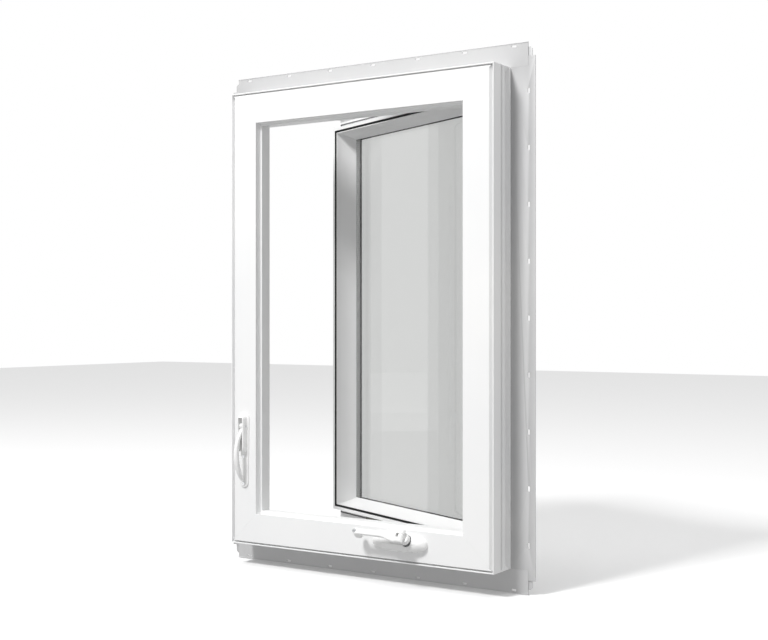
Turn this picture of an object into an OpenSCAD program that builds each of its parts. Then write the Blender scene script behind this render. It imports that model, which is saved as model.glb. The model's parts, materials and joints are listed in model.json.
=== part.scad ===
// Crank-operated casement window in white vinyl: frame with nailing fins, outward-opening
// sash, two sliding-shoe hinges, roller operator with a folding crank, and a side lock.
// X runs along the sill (hinge side is +X), +Y points outdoors, +Z is up.
// Origin: the middle of the nail-slot pattern, on the fins' room-side plane.

/* [Frame] */
// Overall width of the frame without fins
frame_w = 596.9; // [580:1:620]
// Overall height of the frame without fins
frame_h = 901.7; // [880:1:930]
// Depth of the frame, room face to outdoor edge
frame_d = 100; // [98:1:104]
// Depth from the room face to the fins' room-side plane
fin_y = 65; // [64:1:66]
// Width of the face ring seen from the room
face_w = 62.5; // [60:0.5:64]
// Thickness of the frame's outer wall round the sash pocket
wall_t = 10; // [9.5:0.5:10]
// Depth of the part of the frame that the closed sash rests behind
stop_d = 38; // [38:0.5:39]

/* [Nailing fins] */
// Thickness of a fin
fin_t = 1.8; // [1.5:0.1:2]
// Reach of the head and sill fins beyond the frame
fin_end_w = 43.2; // [42:0.1:46]
// Reach of the side fins beyond the frame
fin_side_w = 49.2; // [48:0.1:52]
// Distance from one nail slot to the next
slot_pitch = 101.6; // [101.6]
// Distance of the nail slots from the middle, head and sill
slot_z = 488.7; // [487:0.1:490]
// Distance of the nail slots from the middle, sides
slot_x = 334.6; // [334:0.1:336]
// End-to-end length of a nail slot
slot_l = 10; // [8:0.5:12]
// Width of a nail slot
slot_w = 4; // [3:0.5:5]

/* [Sash] */
// Width of the sash's room-side body
sash_w = 512; // [508:1:514]
// Height of the sash's room-side body
sash_h = 816; // [812:1:818]
// Depth of the sash
sash_d = 66; // [64:1:66]
// Width of the step from the room-side body out to the weather-side body
sash_step = 16; // [14:1:16]
// Depth at which that step lies
sash_step_d = 28; // [26:1:28]
// Distance from the sash's room face to the inner pane
pane_d = 44; // [42:1:44]
// Thickness of one pane
pane_t = 3; // [3:0.5:4]
// Thickness of the sealed glass unit
unit_t = 19; // [18:1:19]
// Angle that the sash stands open
rest_angle = 24; // [0:0.5:60]

/* [Hinges] */
// Distance from a support arm's pivot to its rivet, and from there to the shoe pin
hinge_b = 42; // [40:1:44]
// Place of the shoe pin across the window when the sash is shut
shoe_x = 252; // [250:1:252]
// Depth of the hinge line behind the room face
hinge_y = 49; // [49]

/* [Operator] */
// Place of the operator arm's pivot across the window
arm_x = 81; // [80:1:84]
// Length of the operator arm, pivot to roller
arm_r = 111.7; // [110:0.1:113]
// How far the operator arm turns for each degree of the sash
arm_ratio = 2.5175; // [2.51:0.0005:2.53]
// Distance from the arm's pivot to the crank's axis
worm_offset = 44; // [44]
// Tilt of the crank's axis above level
crank_tilt = 31; // [30:1:32]
// Length of the crank arm, hub to knob
crank_r = 100; // [90:1:105]

/* [Lock] */
// Place of the lock lever across the window
lock_x = -264; // [-266:1:-262]
// Height of the lock lever's pivot
lock_z = -215; // [-220:1:-210]

/* [Hidden] */

$fn = 48;
half_w = frame_w / 2;
half_h = frame_h / 2;
lip_w = 2;              // thin lip round the outer edge of the room face
face_groove_w = 5;      // groove between that lip and the raised face
face_groove_d = 5;
reveal_d = 13;          // depth of the first reveal before the step
reveal_step = 5;        // step that the sash seal sits behind
gap = 0.3;              // running gap between parts that slide past each other

half_sw = sash_w / 2;
half_sh = sash_h / 2;
sash_gap = 1;                   // gap that the frame's seal closes, so that the corner can swing
sash_y = stop_d + sash_gap;     // room face of the shut sash
strip_w = 8;                    // room-side edge of the sash, outside the bead
unit_v = 10;                    // edge of the glass unit, in from the body's outside
bead_v = 14;                    // sight line of the beads
rest_shoe_x = shoe_x - 2 * hinge_b * (1 - cos(rest_angle));
track_pivot_x = shoe_x - 2 * hinge_b;
track_screw_xs = [track_pivot_x - 15, shoe_x + 19.5];
lock_screw_zs = [lock_z - 114, lock_z - 60];

// Heights of the lower hinge's and operator's layers; the upper hinge is their mirror image
floor_z = -(half_h - wall_t);   // top of the sill inside the sash pocket
track_t = 2;
shoe_t = 4;
arm_t = 2.5;
track_top = floor_z + track_t;
shoe_bottom = track_top + gap;
support_z = floor_z + 9.8;      // underside of the support arm
sash_arm_z = support_z + arm_t + 0.6;
roller_arm_z = sash_arm_z + 5.6;
roller_arm_t = 4;
roller_z = roller_arm_z + roller_arm_t + 0.6;
roller_r = 6;
roller_t = 5.2;
gear_z = floor_z + 1.6;
gear_t = 4;
gear_r = 35;
tooth_step = 6;                 // 60 teeth would make a full gear; the worm has four starts

// The crank's axis crosses the room face here
crank_x = arm_x + worm_offset;
mesh_y = 40;                    // depth at which the worm lies level with the gear
crank_z = gear_z + gear_t / 2 + mesh_y * tan(crank_tilt);
fold_t = 36;                    // fold pin, along the crank's axis from the room face

vinyl = "white";
zinc = "lightgray";
steel = "silver";

// ---------- shared helpers ----------

// Moves a part drawn with the room face at y = 0 to the fins' plane
module seat() {
    translate([0, -fin_y, 0]) children();
}

// Turns a sash part, drawn shut about the shoe pin, to its rest position
module sash_place() {
    seat() translate([rest_shoe_x, hinge_y, 0]) rotate([0, 0, -rest_angle])
        translate([-shoe_x, -hinge_y, 0]) children();
}

// A part and its mirror image above the window's middle
module low_and_high() {
    children();
    mirror([0, 0, 1]) children();
}

// A box given by its two corners
module block(low, high) {
    translate(low) cube(high - low);
}

// Trapezium that mitres a bar along the top of a w by h rectangle, t wide
module mitre_top(w, h, t, y0, y1) {
    translate([0, y1, 0]) rotate([90, 0, 0]) linear_extrude(y1 - y0)
        polygon([[-w / 2, h / 2], [w / 2, h / 2], [w / 2 - t, h / 2 - t], [-w / 2 + t, h / 2 - t]]);
}

// Trapezium that mitres a bar along the +X side of a w by h rectangle, t wide
module mitre_side(w, h, t, y0, y1) {
    translate([0, y1, 0]) rotate([90, 0, 0]) linear_extrude(y1 - y0)
        polygon([[w / 2, -h / 2], [w / 2, h / 2], [w / 2 - t, h / 2 - t], [w / 2 - t, -h / 2 + t]]);
}

// Bar along the top of a ring with outside w by h. The outline is [[inward, depth], ...];
// grow is how far the outline reaches outside w by h, t how far inside it.
module bar_top(w, h, outline, t, grow = 0) {
    intersection() {
        translate([-w / 2 - grow, 0, 0]) rotate([90, 0, 90]) linear_extrude(w + 2 * grow)
            polygon([for (p = outline) [p[1], h / 2 - p[0]]]);
        mitre_top(w + 2 * grow, h + 2 * grow, t + grow, -1, frame_d + 20);
    }
}

// Bar along the +X side of the same ring
module bar_side(w, h, outline, t, grow = 0) {
    intersection() {
        translate([0, 0, -h / 2 - grow]) linear_extrude(h + 2 * grow)
            polygon([for (p = outline) [w / 2 - p[0], p[1]]]);
        mitre_side(w + 2 * grow, h + 2 * grow, t + grow, -1, frame_d + 20);
    }
}

// A closed rectangular ring with outside w by h, t wide, between two depths
module ring(w, h, t, y0, y1) {
    difference() {
        block([-w / 2, y0, -h / 2], [w / 2, y1, h / 2]);
        block([-w / 2 + t, y0 - 1, -h / 2 + t], [w / 2 - t, y1 + 1, h / 2 - t]);
    }
}

// Upright cylinder from z0 to z1
module post(x, y, z0, z1, r) {
    translate([x, y, z0]) cylinder(h = z1 - z0, r = r);
}

// Flat link with round ends between two points, lying level from z0, t thick
module link(x0, x1, y, z0, t, r) {
    union() {
        block([min(x0, x1), y - r, z0], [max(x0, x1), y + r, z0 + t]);
        post(x0, y, z0, z0 + t, r);
        post(x1, y, z0, z0 + t, r);
    }
}

// Pan-head screw along +Y: the head stands towards the room from y = 0
module screw(r_head, r_shank, length) {
    rotate([-90, 0, 0]) {
        translate([0, 0, -1.6]) cylinder(h = 1.6, r = r_head);
        cylinder(h = length, r = r_shank);
    }
}

// ---------- frame ----------

// Frame section, [inward from the outside, depth from the room face]
frame_outline = [
    [0, 0], [0, 27], [4, 27], [4, 33.5], [0, 33.5], [0, 38.5], [4.5, 38.5], [4.5, 59], [0, 59],
    [0, frame_d], [wall_t, frame_d], [wall_t, stop_d], [face_w + reveal_step, stop_d],
    [face_w + reveal_step, reveal_d], [face_w, reveal_d], [face_w, 0],
    [lip_w + face_groove_w, 0], [lip_w + face_groove_w, face_groove_d],
    [lip_w, face_groove_d], [lip_w, 0]];
frame_t = face_w + reveal_step + 1;

// Pilot holes for the screws of one hinge track, below floor_z
module track_pilot_holes() {
    for (x = track_screw_xs) post(x, hinge_y, floor_z - 7.2, floor_z + 1, 2);
}

module frame_head() {
    color(vinyl) seat() difference() {
        bar_top(frame_w, frame_h, frame_outline, frame_t);
        mirror([0, 0, 1]) track_pilot_holes();
    }
}

// Sill with the pocket for the operator's gear and the bore for its barrel
module frame_sill() {
    color(vinyl) seat() difference() {
        mirror([0, 0, 1]) bar_top(frame_w, frame_h, frame_outline, frame_t);
        track_pilot_holes();
        block([arm_x - gear_r - 4, stop_d - 28, pocket_z], [crank_x + 18, 59, gear_z + gear_t + 3]);
        crank_axis() translate([0, 0, -34]) cylinder(h = 50, r = barrel_r + gap);
        crank_axis() translate([0, 0, worm_end - 1]) cylinder(h = 30, r = 7.2);
    }
}

// Lock-side jamb with the slot that the tie bar's fork works through
module frame_jamb_lock() {
    color(vinyl) seat() difference() {
        mirror([1, 0, 0]) bar_side(frame_w, frame_h, frame_outline, frame_t);
        block([lock_x - 6, -1, lock_z - 48], [lock_x + 6, stop_d + 1, lock_z + 18]);
        for (z = lock_screw_zs) translate([lock_x, -1, z]) rotate([-90, 0, 0]) cylinder(h = 15, r = 1.6);
    }
}

module frame_jamb_hinge() {
    color(vinyl) seat() bar_side(frame_w, frame_h, frame_outline, frame_t);
}

// Seal on the back of the stop, outside the shut sash's body, left out where the operator passes
module frame_weatherstrip() {
    inset = 14;
    seal_t = 3;
    color("dimgray") seat() difference() {
        ring(frame_w - 2 * inset, frame_h - 2 * inset, seal_t, stop_d, stop_d + seal_t);
        block([arm_x - gear_r - 4, stop_d - 1, floor_z - 1], [crank_x + 18, stop_d + seal_t + 1, floor_z + 20]);
    }
}

// ---------- nailing fins ----------

// Slot along X through the fins at x, z
module slot_x_cut(x, z) {
    reach = slot_l / 2 - slot_w / 2;
    for (side = [-1, 1])
        translate([x + side * reach, -1, z]) rotate([-90, 0, 0]) cylinder(h = fin_t + 4, r = slot_w / 2);
    block([x - reach, -1, z - slot_w / 2], [x + reach, fin_t + 3, z + slot_w / 2]);
}

// Slot along Z through the fins at x, z
module slot_z_cut(x, z) {
    reach = slot_l / 2 - slot_w / 2;
    for (side = [-1, 1])
        translate([x, -1, z + side * reach]) rotate([-90, 0, 0]) cylinder(h = fin_t + 4, r = slot_w / 2);
    block([x - slot_w / 2, -1, z - reach], [x + slot_w / 2, fin_t + 3, z + reach]);
}

fin_end_x = half_w + 35;        // end of the head and sill fins
fin_side_z = half_h + 18;       // end of the side fins

// Head fin, a flat strip with seven nail slots and a thickened root
module fin_head_shape() {
    difference() {
        union() {
            block([-fin_end_x, 0, half_h], [fin_end_x, fin_t, half_h + fin_end_w]);
            block([-half_w, fin_t, half_h], [half_w, fin_t + 2.2, half_h + 3]);
        }
        for (k = [-3:3]) slot_x_cut(k * slot_pitch, slot_z);
    }
}

module fin_side_shape() {
    notch_x = fin_end_x + gap;
    difference() {
        union() {
            block([half_w, 0, -half_h], [half_w + fin_side_w, fin_t, half_h]);
            block([notch_x, 0, -fin_side_z], [half_w + fin_side_w, fin_t, fin_side_z]);
            block([half_w, fin_t, -half_h + 40], [half_w + 3, fin_t + 2.2, half_h - 40]);
        }
        for (k = [-4:4]) slot_z_cut(slot_x, k * slot_pitch);
    }
}

module fin_head() {
    color(vinyl) fin_head_shape();
}

module fin_sill() {
    color(vinyl) mirror([0, 0, 1]) fin_head_shape();
}

module fin_lock_side() {
    color(vinyl) mirror([1, 0, 0]) fin_side_shape();
}

module fin_hinge_side() {
    color(vinyl) fin_side_shape();
}

// Four corner plates behind the ends of the fins
module fin_corner_gussets() {
    out_x = half_w + 42.5;
    out_z = half_h + 34.5;
    color(vinyl) for (sx = [0, 1]) for (sz = [0, 1]) mirror([sx, 0, 0]) mirror([0, 0, sz])
        translate([0, 2 * fin_t, 0]) rotate([90, 0, 0]) linear_extrude(fin_t)
            polygon([[half_w + 4, half_h - 26], [out_x, half_h - 26], [out_x, out_z - 4],
                [out_x - 4, out_z], [half_w - 30, out_z], [half_w - 30, half_h + 4],
                [half_w + 4, half_h + 4]]);
}

// ---------- sash ----------

// Sash section, [inward from the room-side body's outside, depth from the sash's room face]
sash_outline = [
    [0, 0], [0, sash_step_d], [-sash_step, sash_step_d], [-sash_step, sash_d],
    [bead_v, sash_d], [bead_v, pane_d + unit_t + 0.6], [strip_w + 0.5, pane_d + unit_t + 0.6],
    [strip_w + 0.5, 8], [strip_w, 8], [strip_w, 0]];
sash_t = bead_v + 1;

module sash_bar_top() {
    translate([0, sash_y, 0]) bar_top(sash_w, sash_h, sash_outline, sash_t, sash_step);
}

module sash_bar_side() {
    translate([0, sash_y, 0]) bar_side(sash_w, sash_h, sash_outline, sash_t, sash_step);
}

module sash_top_rail() {
    color(vinyl) sash_place() sash_bar_top();
}

module sash_bottom_rail() {
    color(vinyl) sash_place() mirror([0, 0, 1]) sash_bar_top();
}

module sash_lock_stile() {
    color(vinyl) sash_place() mirror([1, 0, 0]) sash_bar_side();
}

module sash_hinge_stile() {
    color(vinyl) sash_place() sash_bar_side();
}

// Snap-in bead section: a nose towards the room and a wall that slopes to the glass
bead_outline = [
    [strip_w + 0.5, 9], [strip_w + 4.2, 2], [strip_w + 5, 2], [bead_v, pane_d], [strip_w + 0.5, pane_d]];

module bead_bar_top() {
    translate([0, sash_y, 0]) bar_top(sash_w, sash_h, bead_outline, sash_t);
}

module bead_bar_side() {
    translate([0, sash_y, 0]) bar_side(sash_w, sash_h, bead_outline, sash_t);
}

module bead_top() {
    color(vinyl) sash_place() bead_bar_top();
}

module bead_bottom() {
    color(vinyl) sash_place() mirror([0, 0, 1]) bead_bar_top();
}

module bead_lock_side() {
    color(vinyl) sash_place() mirror([1, 0, 0]) bead_bar_side();
}

module bead_hinge_side() {
    color(vinyl) sash_place() bead_bar_side();
}

unit_w = sash_w - 2 * unit_v;
unit_h = sash_h - 2 * unit_v;
unit_y = sash_y + pane_d;       // room side of the glass unit

module pane_inner() {
    color("lightcyan", 0.4) sash_place()
        block([-unit_w / 2, unit_y, -unit_h / 2], [unit_w / 2, unit_y + pane_t, unit_h / 2]);
}

module pane_outer() {
    color("lightcyan", 0.4) sash_place()
        block([-unit_w / 2, unit_y + unit_t - pane_t, -unit_h / 2], [unit_w / 2, unit_y + unit_t, unit_h / 2]);
}

// Spacer bar that holds the two panes apart
module glass_spacer() {
    color("gray") sash_place()
        ring(unit_w, unit_h, 7, unit_y + pane_t, unit_y + unit_t - pane_t);
}

// Sealant between the outer pane and the sash's weather leg
module glazing_seal() {
    color("black") sash_place() ring(unit_w, unit_h, 3.5, unit_y + unit_t, unit_y + unit_t + 0.6);
}

// Blocks that the glass unit stands on, and two that steady it at the top
module setting_blocks() {
    block_t = unit_v - strip_w - 0.5;
    color("dimgray") sash_place() for (x = [-150, 150]) low_and_high()
        block([x - 40, unit_y + 1, -half_sh + strip_w + 0.5],
            [x + 40, unit_y + unit_t - 1, -half_sh + strip_w + 0.5 + block_t]);
}

// Thin flap along a rail that throws rain clear of the pocket
module drip_flap_bar() {
    flap_y = sash_y + sash_step_d - 6;
    color(vinyl) sash_place() {
        block([-half_sw - 24, flap_y, half_sh + sash_step + 6.4],
            [half_sw + sash_step - 2, flap_y + 12, half_sh + sash_step + 8.6]);
        block([-half_sw - sash_step, sash_y + sash_step_d, half_sh + sash_step],
            [half_sw + sash_step - 2, sash_y + sash_step_d + 6, half_sh + sash_step + 6.4]);
    }
}

module drip_flap_top() {
    drip_flap_bar();
}

module drip_flap_bottom() {
    mirror([0, 0, 1]) drip_flap_bar();
}

// Seal round the weather-side body's step
module sash_weatherstrip() {
    color("dimgray") sash_place()
        ring(sash_w + 24, sash_h + 24, 5, sash_y + sash_step_d - 2.5, sash_y + sash_step_d);
}

// ---------- hinges ----------

// Track with two low lips, and the fixed stud that the support arm turns on
module hinge_track_low() {
    x0 = track_pivot_x - 22;
    x1 = shoe_x + 25;
    for (y = [hinge_y - 8, hinge_y + 6.4])
        block([x0, y, floor_z], [x1, y + 1.6, track_top + 2.6]);
    block([x0, hinge_y - 8, floor_z], [x1, hinge_y + 8, track_top]);
    post(track_pivot_x, hinge_y, floor_z, support_z - 0.4, 5);
    post(track_pivot_x, hinge_y, floor_z, support_z + arm_t + 0.5, 2.95);
}

module hinge_tracks() {
    color(steel) seat() low_and_high() difference() {
        hinge_track_low();
        for (x = track_screw_xs) post(x, hinge_y, floor_z - 1, track_top + 1, 2.1);
    }
}

module hinge_track_screws() {
    color(zinc) seat() low_and_high() for (x = track_screw_xs) {
        post(x, hinge_y, track_top, track_top + 1.4, 3.6);
        post(x, hinge_y, floor_z - 7, track_top, 2);
    }
}

// Shoe that slides in the track, with the pin that carries the sash arm
module hinge_shoes() {
    shoe_top = shoe_bottom + shoe_t;
    color("gray") seat() low_and_high() {
        block([rest_shoe_x - 14, hinge_y - 6, shoe_bottom], [rest_shoe_x + 14, hinge_y + 6, shoe_top]);
        post(rest_shoe_x, hinge_y, shoe_top, sash_arm_z - 0.3, 5.5);
        post(rest_shoe_x, hinge_y, shoe_top, sash_arm_z + arm_t, 2.95);
    }
}

// Support arm, from the track's stud to the rivet on the sash arm
module support_arms() {
    color(steel) seat() low_and_high()
        translate([track_pivot_x, hinge_y, 0]) rotate([0, 0, rest_angle]) difference() {
            link(0, hinge_b, 0, support_z, arm_t, 6.5);
            post(0, 0, support_z - 1, support_z + arm_t + 1, 3);
            post(hinge_b, 0, support_z - 1, support_z + arm_t + 1, 3);
        }
}

// Rivets that ride with the sash arms and hold the support arms
module support_arm_rivets() {
    x = shoe_x - hinge_b;
    color(zinc) sash_place() low_and_high() {
        post(x, hinge_y, support_z - 1.2, support_z - 0.2, 5);
        post(x, hinge_y, support_z - 0.2, sash_arm_z + arm_t, 2.95);
    }
}

// Sash arm, a flat bar under the sash that the shoe and the support arm both carry
module sash_hinge_arms() {
    x_rivet = shoe_x - hinge_b;
    color(steel) sash_place() low_and_high() difference() {
        link(shoe_x, shoe_x - 60, hinge_y, sash_arm_z, arm_t, 6.5);
        post(shoe_x, hinge_y, sash_arm_z - 1, sash_arm_z + arm_t + 1, 3);
        post(x_rivet, hinge_y, sash_arm_z - 1, sash_arm_z + arm_t + 1, 2.95);
    }
}

// Pads that join the sash arms to the rails
module hinge_arm_pads() {
    z0 = sash_arm_z + arm_t;
    color("gainsboro") sash_place() low_and_high() difference() {
        block([shoe_x - 39, hinge_y - 6, z0], [shoe_x + 4, hinge_y + 6, -half_sh]);
        post(shoe_x, hinge_y, z0 - 1, z0 + 1.2, 4);
    }
}

// ---------- operator ----------

// Frame of the crank's axis: +Z outward along the axis, 0 where it crosses the room face
module crank_axis() {
    translate([crank_x, 0, crank_z]) rotate([90 - crank_tilt, 0, 0]) children();
}

barrel_r = 11;
shaft_r = 6;
spline_r = 4.5;
hub_r = 10.8;
arm_head_w = 21;                // width of the crank arm's fork, along its fold pin
worm_end = -50;                 // inner end of the worm, along the crank's axis
pocket_z = floor_z - 3.5;       // bottom of the operator's pocket in the sill
base_t = 3;

// Die-cast housing: base plate with the arm's axle boss, and the worm's barrel
module operator_housing() {
    web_half = 6;
    color(zinc) seat() difference() {
        union() {
            block([arm_x - gear_r - 2, stop_d - 26, pocket_z], [crank_x + 16, hinge_y + 9, pocket_z + base_t]);
            post(arm_x, hinge_y, pocket_z, gear_z - 0.4, 9);
            block([crank_x - web_half, stop_d - 25, pocket_z], [crank_x + web_half, 26, crank_z - 20]);
            crank_axis() translate([0, 0, -28]) cylinder(h = 30, r = barrel_r);
        }
        post(arm_x, hinge_y, pocket_z - 1, gear_z + 1, 4);
        crank_axis() translate([0, 0, worm_end - 1]) cylinder(h = 23, r = 7.2);
        crank_axis() translate([0, 0, -29]) cylinder(h = 40, r = shaft_r + 0.05);
    }
}

// Axle that the operator arm turns on, fixed in the housing
module arm_axle() {
    color(steel) seat() {
        post(arm_x, hinge_y, pocket_z, roller_arm_z + roller_arm_t + 0.5, 4);
        post(arm_x, hinge_y, roller_arm_z + roller_arm_t + 0.5, roller_arm_z + roller_arm_t + 2, 6);
    }
}

// Gear sector with teeth for the worm, and the hub that carries the arm
module arm_gear() {
    rest_turn = arm_ratio * rest_angle;
    color(zinc) seat() translate([arm_x, hinge_y, 0]) rotate([0, 0, -rest_turn]) difference() {
        union() {
            translate([0, 0, gear_z]) linear_extrude(gear_t)
                polygon(concat([[0, 0]], [for (i = [-3:2 * 28]) let (a = i * tooth_step / 2)
                    (gear_r + (i % 2 == 0 ? 1.2 : -1.2)) * [cos(a), sin(a)]]));
            post(0, 0, gear_z, roller_arm_z, 8);
        }
        post(0, 0, gear_z - 1, roller_arm_z + 1, 4.05);
    }
}

// Flat operator arm from the gear's hub to the roller pin
module operator_arm() {
    rest_turn = arm_ratio * rest_angle;
    color("darkgray") seat() translate([arm_x, hinge_y, 0]) rotate([0, 0, -rest_turn]) difference() {
        union() {
            link(0, -arm_r, 0, roller_arm_z, roller_arm_t, 6.5);
            post(0, 0, roller_arm_z, roller_arm_z + roller_arm_t, 9);
            post(-arm_r, 0, roller_arm_z, roller_z + roller_t, 2.4);
        }
        post(0, 0, roller_arm_z - 1, roller_arm_z + roller_arm_t + 1, 4.05);
    }
}

// Nylon roller on the end of the arm, which runs in the sash's track
module arm_roller() {
    rest_turn = arm_ratio * rest_angle;
    color("whitesmoke") seat() translate([arm_x, hinge_y, 0]) rotate([0, 0, -rest_turn]) difference() {
        post(-arm_r, 0, roller_z, roller_z + roller_t - 0.4, roller_r);
        post(-arm_r, 0, roller_z - 1, roller_z + roller_t + 1, 2.45);
    }
}

// Channel under the bottom rail that the roller runs in
module roller_track() {
    x0 = shoe_x - 378;
    x1 = shoe_x - 42;
    lip = 1.4;
    half = roller_r + 0.9;
    z0 = roller_z - 0.2;
    color("dimgray") sash_place() {
        block([x0, hinge_y - half - lip, -half_sh - 1.4], [x1, hinge_y + half + lip, -half_sh]);
        for (y = [hinge_y - half - lip, hinge_y + half])
            block([x0, y, z0], [x1, y + lip, -half_sh - 1.4]);
    }
}

// Worm shaft: splined nose, plain journal in the barrel, and the worm's rings at the inner end
module worm_shaft() {
    ring_pitch = PI * gear_r * tooth_step / 180;
    worm_r = 6;
    color(steel) seat() crank_axis() {
        translate([0, 0, worm_end]) cylinder(h = 68, r = shaft_r - 0.8);
        translate([0, 0, -28]) cylinder(h = 46, r = shaft_r);
        translate([0, 0, 18]) cylinder(h = 10, r = spline_r);
        for (i = [0:4]) translate([0, 0, worm_end + 1 + i * ring_pitch]) rotate_extrude()
            polygon([[0, 0], [worm_r - 0.6, 0], [worm_r + 0.4, 0.6], [worm_r + 0.4, 1.2], [worm_r - 0.6, 1.8], [0, 1.8]]);
    }
}

// Moulded cover round the crank's base: a stadium plate under a lower, wider dome
module operator_cover() {
    cover_l = 124;
    cover_h = 34;
    cover_x = crank_x - 18;
    cover_z = crank_z + 1;
    proud = 15;
    r = cover_h / 2;
    color(vinyl) seat() difference() {
        hull() for (side = [-1, 1]) translate([cover_x + side * (cover_l / 2 - r), 0, cover_z]) rotate([90, 0, 0]) {
            cylinder(h = 5, r = r, $fn = 32);
            translate([0, 0, proud - 4]) cylinder(h = 4, r1 = r - 3, r2 = r - 8, $fn = 32);
        }
        crank_axis() translate([0, 0, -16]) cylinder(h = 54, r = barrel_r + 0.4, $fn = 32);
    }
}

module operator_screws() {
    color(zinc) seat() for (x = [arm_x - gear_r + 6, crank_x + 11])
        post(x, hinge_y + 4, pocket_z + base_t, pocket_z + base_t + 1.2, 3.4);
}

// Crank hub on the shaft's splines, with the tang that the arm folds on
module crank_hub() {
    color(vinyl) seat() crank_axis() difference() {
        union() {
            translate([0, 0, 18.2]) cylinder(h = 3.6, r = hub_r - 0.6);
            translate([0, 0, 21.8]) cylinder(h = 1.4, r = hub_r - 1.4);
            translate([0, 0, 23.2]) cylinder(h = 6, r1 = hub_r, r2 = hub_r - 0.6);
            translate([0, 0, fold_t]) rotate([90, 0, 0]) cylinder(h = 6.4, r = 5.6, center = true);
            translate([-5.6, -3.2, 28]) cube([11.2, 6.4, fold_t - 28]);
        }
        translate([0, 0, 17]) cylinder(h = 11, r = spline_r);
        translate([0, 0, fold_t]) rotate([90, 0, 0]) cylinder(h = 8, r = 2, center = true);
        translate([0, 0, 23.5]) rotate([90, 0, 0]) cylinder(h = 12, r = 1.5);
    }
}

module crank_setscrew() {
    color(steel) seat() crank_axis() translate([0, 0, 23.5]) rotate([90, 0, 0])
        translate([0, 0, spline_r]) cylinder(h = 3.6, r = 1.5);
}

module crank_fold_pin() {
    color(steel) seat() crank_axis() translate([0, 0, fold_t]) rotate([90, 0, 0])
        cylinder(h = arm_head_w + 0.4, r = 2, center = true);
}

// Folding arm: a fork round the hub's tang, a tapering bar, and an eye for the knob's pin
module crank_arm() {
    head = arm_head_w / 2;
    waist = 5.8;                // half width past the head's taper
    tip = 5.4;
    color(vinyl) seat() crank_axis() translate([0, 0, fold_t]) difference() {
        union() {
            rotate([90, 0, 0]) cylinder(h = arm_head_w, r = 6, center = true);
            translate([0, 0, -4]) linear_extrude(8)
                polygon([[0, -head], [0, head], [-16, head], [-42, waist], [-crank_r, tip],
                    [-crank_r, -tip], [-42, -waist], [-16, -head]]);
            translate([-crank_r, 0, -4]) cylinder(h = 8, r = 6.6);
        }
        translate([-8, -3.5, -8]) cube([20, 7, 16]);
        rotate([90, 0, 0]) cylinder(h = arm_head_w + 2, r = 2.05, center = true);
        translate([-crank_r, 0, -5]) cylinder(h = 10, r = 2.4);
    }
}

module crank_knob_pin() {
    color(steel) seat() crank_axis() translate([-crank_r, 0, fold_t]) {
        translate([0, 0, -20]) cylinder(h = 24, r = 2.4);
        translate([0, 0, 4]) cylinder(h = 1, r = 4);
    }
}

// Barrel-shaped knob that turns on its pin
module crank_knob() {
    color(vinyl) seat() crank_axis() translate([-crank_r, 0, fold_t - 4.4]) mirror([0, 0, 1])
        rotate_extrude() polygon([[2.46, 0], [5.5, 0], [7, 2], [7.8, 8], [7, 13.5], [5.2, 16], [2.46, 16]]);
}

// ---------- lock ----------

// Escutcheon: a tall plate under a hooded body, slotted for the lever
module lock_escutcheon() {
    plate_w = 25;
    top = lock_z + 27;
    bottom = lock_z - 122;
    r = plate_w / 2;
    body_r = 9.5;
    color(vinyl) seat() difference() {
        union() {
            block([lock_x - r, -3, bottom + r], [lock_x + r, 0, top - r]);
            for (z = [bottom + r, top - r]) translate([lock_x, 0, z]) rotate([90, 0, 0]) cylinder(h = 3, r = r);
            block([lock_x - body_r, -13, lock_z - 50], [lock_x + body_r, -3, lock_z + 14]);
            translate([lock_x, -3, lock_z + 14]) rotate([90, 0, 0]) cylinder(h = 10, r = body_r);
        }
        block([lock_x - 4.6, -20, lock_z - 30], [lock_x + 4.6, 1, lock_z + 13]);
        block([lock_x - 4.6, -20, lock_z - 51], [lock_x + 4.6, -3, lock_z - 29]);
        translate([lock_x, -7, lock_z]) rotate([0, 90, 0]) cylinder(h = 40, r = 2, center = true);
        for (z = lock_screw_zs) translate([lock_x, -5, z]) rotate([-90, 0, 0]) cylinder(h = 6, r = 1.6);
    }
}

module lock_screws() {
    color(steel) seat() for (z = lock_screw_zs)
        translate([lock_x, -3, z]) screw(3, 1.6, 16);
}

module lock_lever_pin() {
    color(steel) seat() translate([lock_x, -7, lock_z]) rotate([0, 90, 0]) cylinder(h = 19, r = 2, center = true);
}

// Bowed lever that hangs down from its pin, with a short inner crank
module lock_lever() {
    lever_w = 8.4;
    bow_r = 78;
    bow_t = 7;
    mid_z = lock_z - 56;
    color(vinyl) seat() difference() {
        translate([lock_x - lever_w / 2, 0, 0]) union() {
            translate([0, -7, lock_z]) rotate([0, 90, 0]) cylinder(h = lever_w, r = 5.6);
            intersection() {
                translate([0, bow_r - 31, mid_z]) rotate([0, 90, 0]) difference() {
                    cylinder(h = lever_w, r = bow_r, $fn = 96);
                    translate([0, 0, -1]) cylinder(h = lever_w + 2, r = bow_r - bow_t, $fn = 96);
                }
                block([-1, -40, lock_z - 112], [lever_w + 1, -5.5, lock_z]);
            }
            block([0, -7, lock_z - 4], [lever_w, 7, lock_z + 4]);
        }
        translate([lock_x, -7, lock_z]) rotate([0, 90, 0]) cylinder(h = 40, r = 2.05, center = true);
    }
}

// Flat bar inside the lock jamb that carries the locking rollers
tie_x = -(half_w - wall_t) + 1.6;
tie_t = 2.4;
tie_top = 300;
roller_zs = [-250, 0, 250];

module tie_bar() {
    color(steel) seat() difference() {
        block([tie_x, hinge_y - 5, -330], [tie_x + tie_t, hinge_y + 5, tie_top]);
        for (z = roller_zs) translate([tie_x - 1, hinge_y, z]) rotate([0, 90, 0]) cylinder(h = tie_t + 2, r = 2.5);
    }
}

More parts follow.
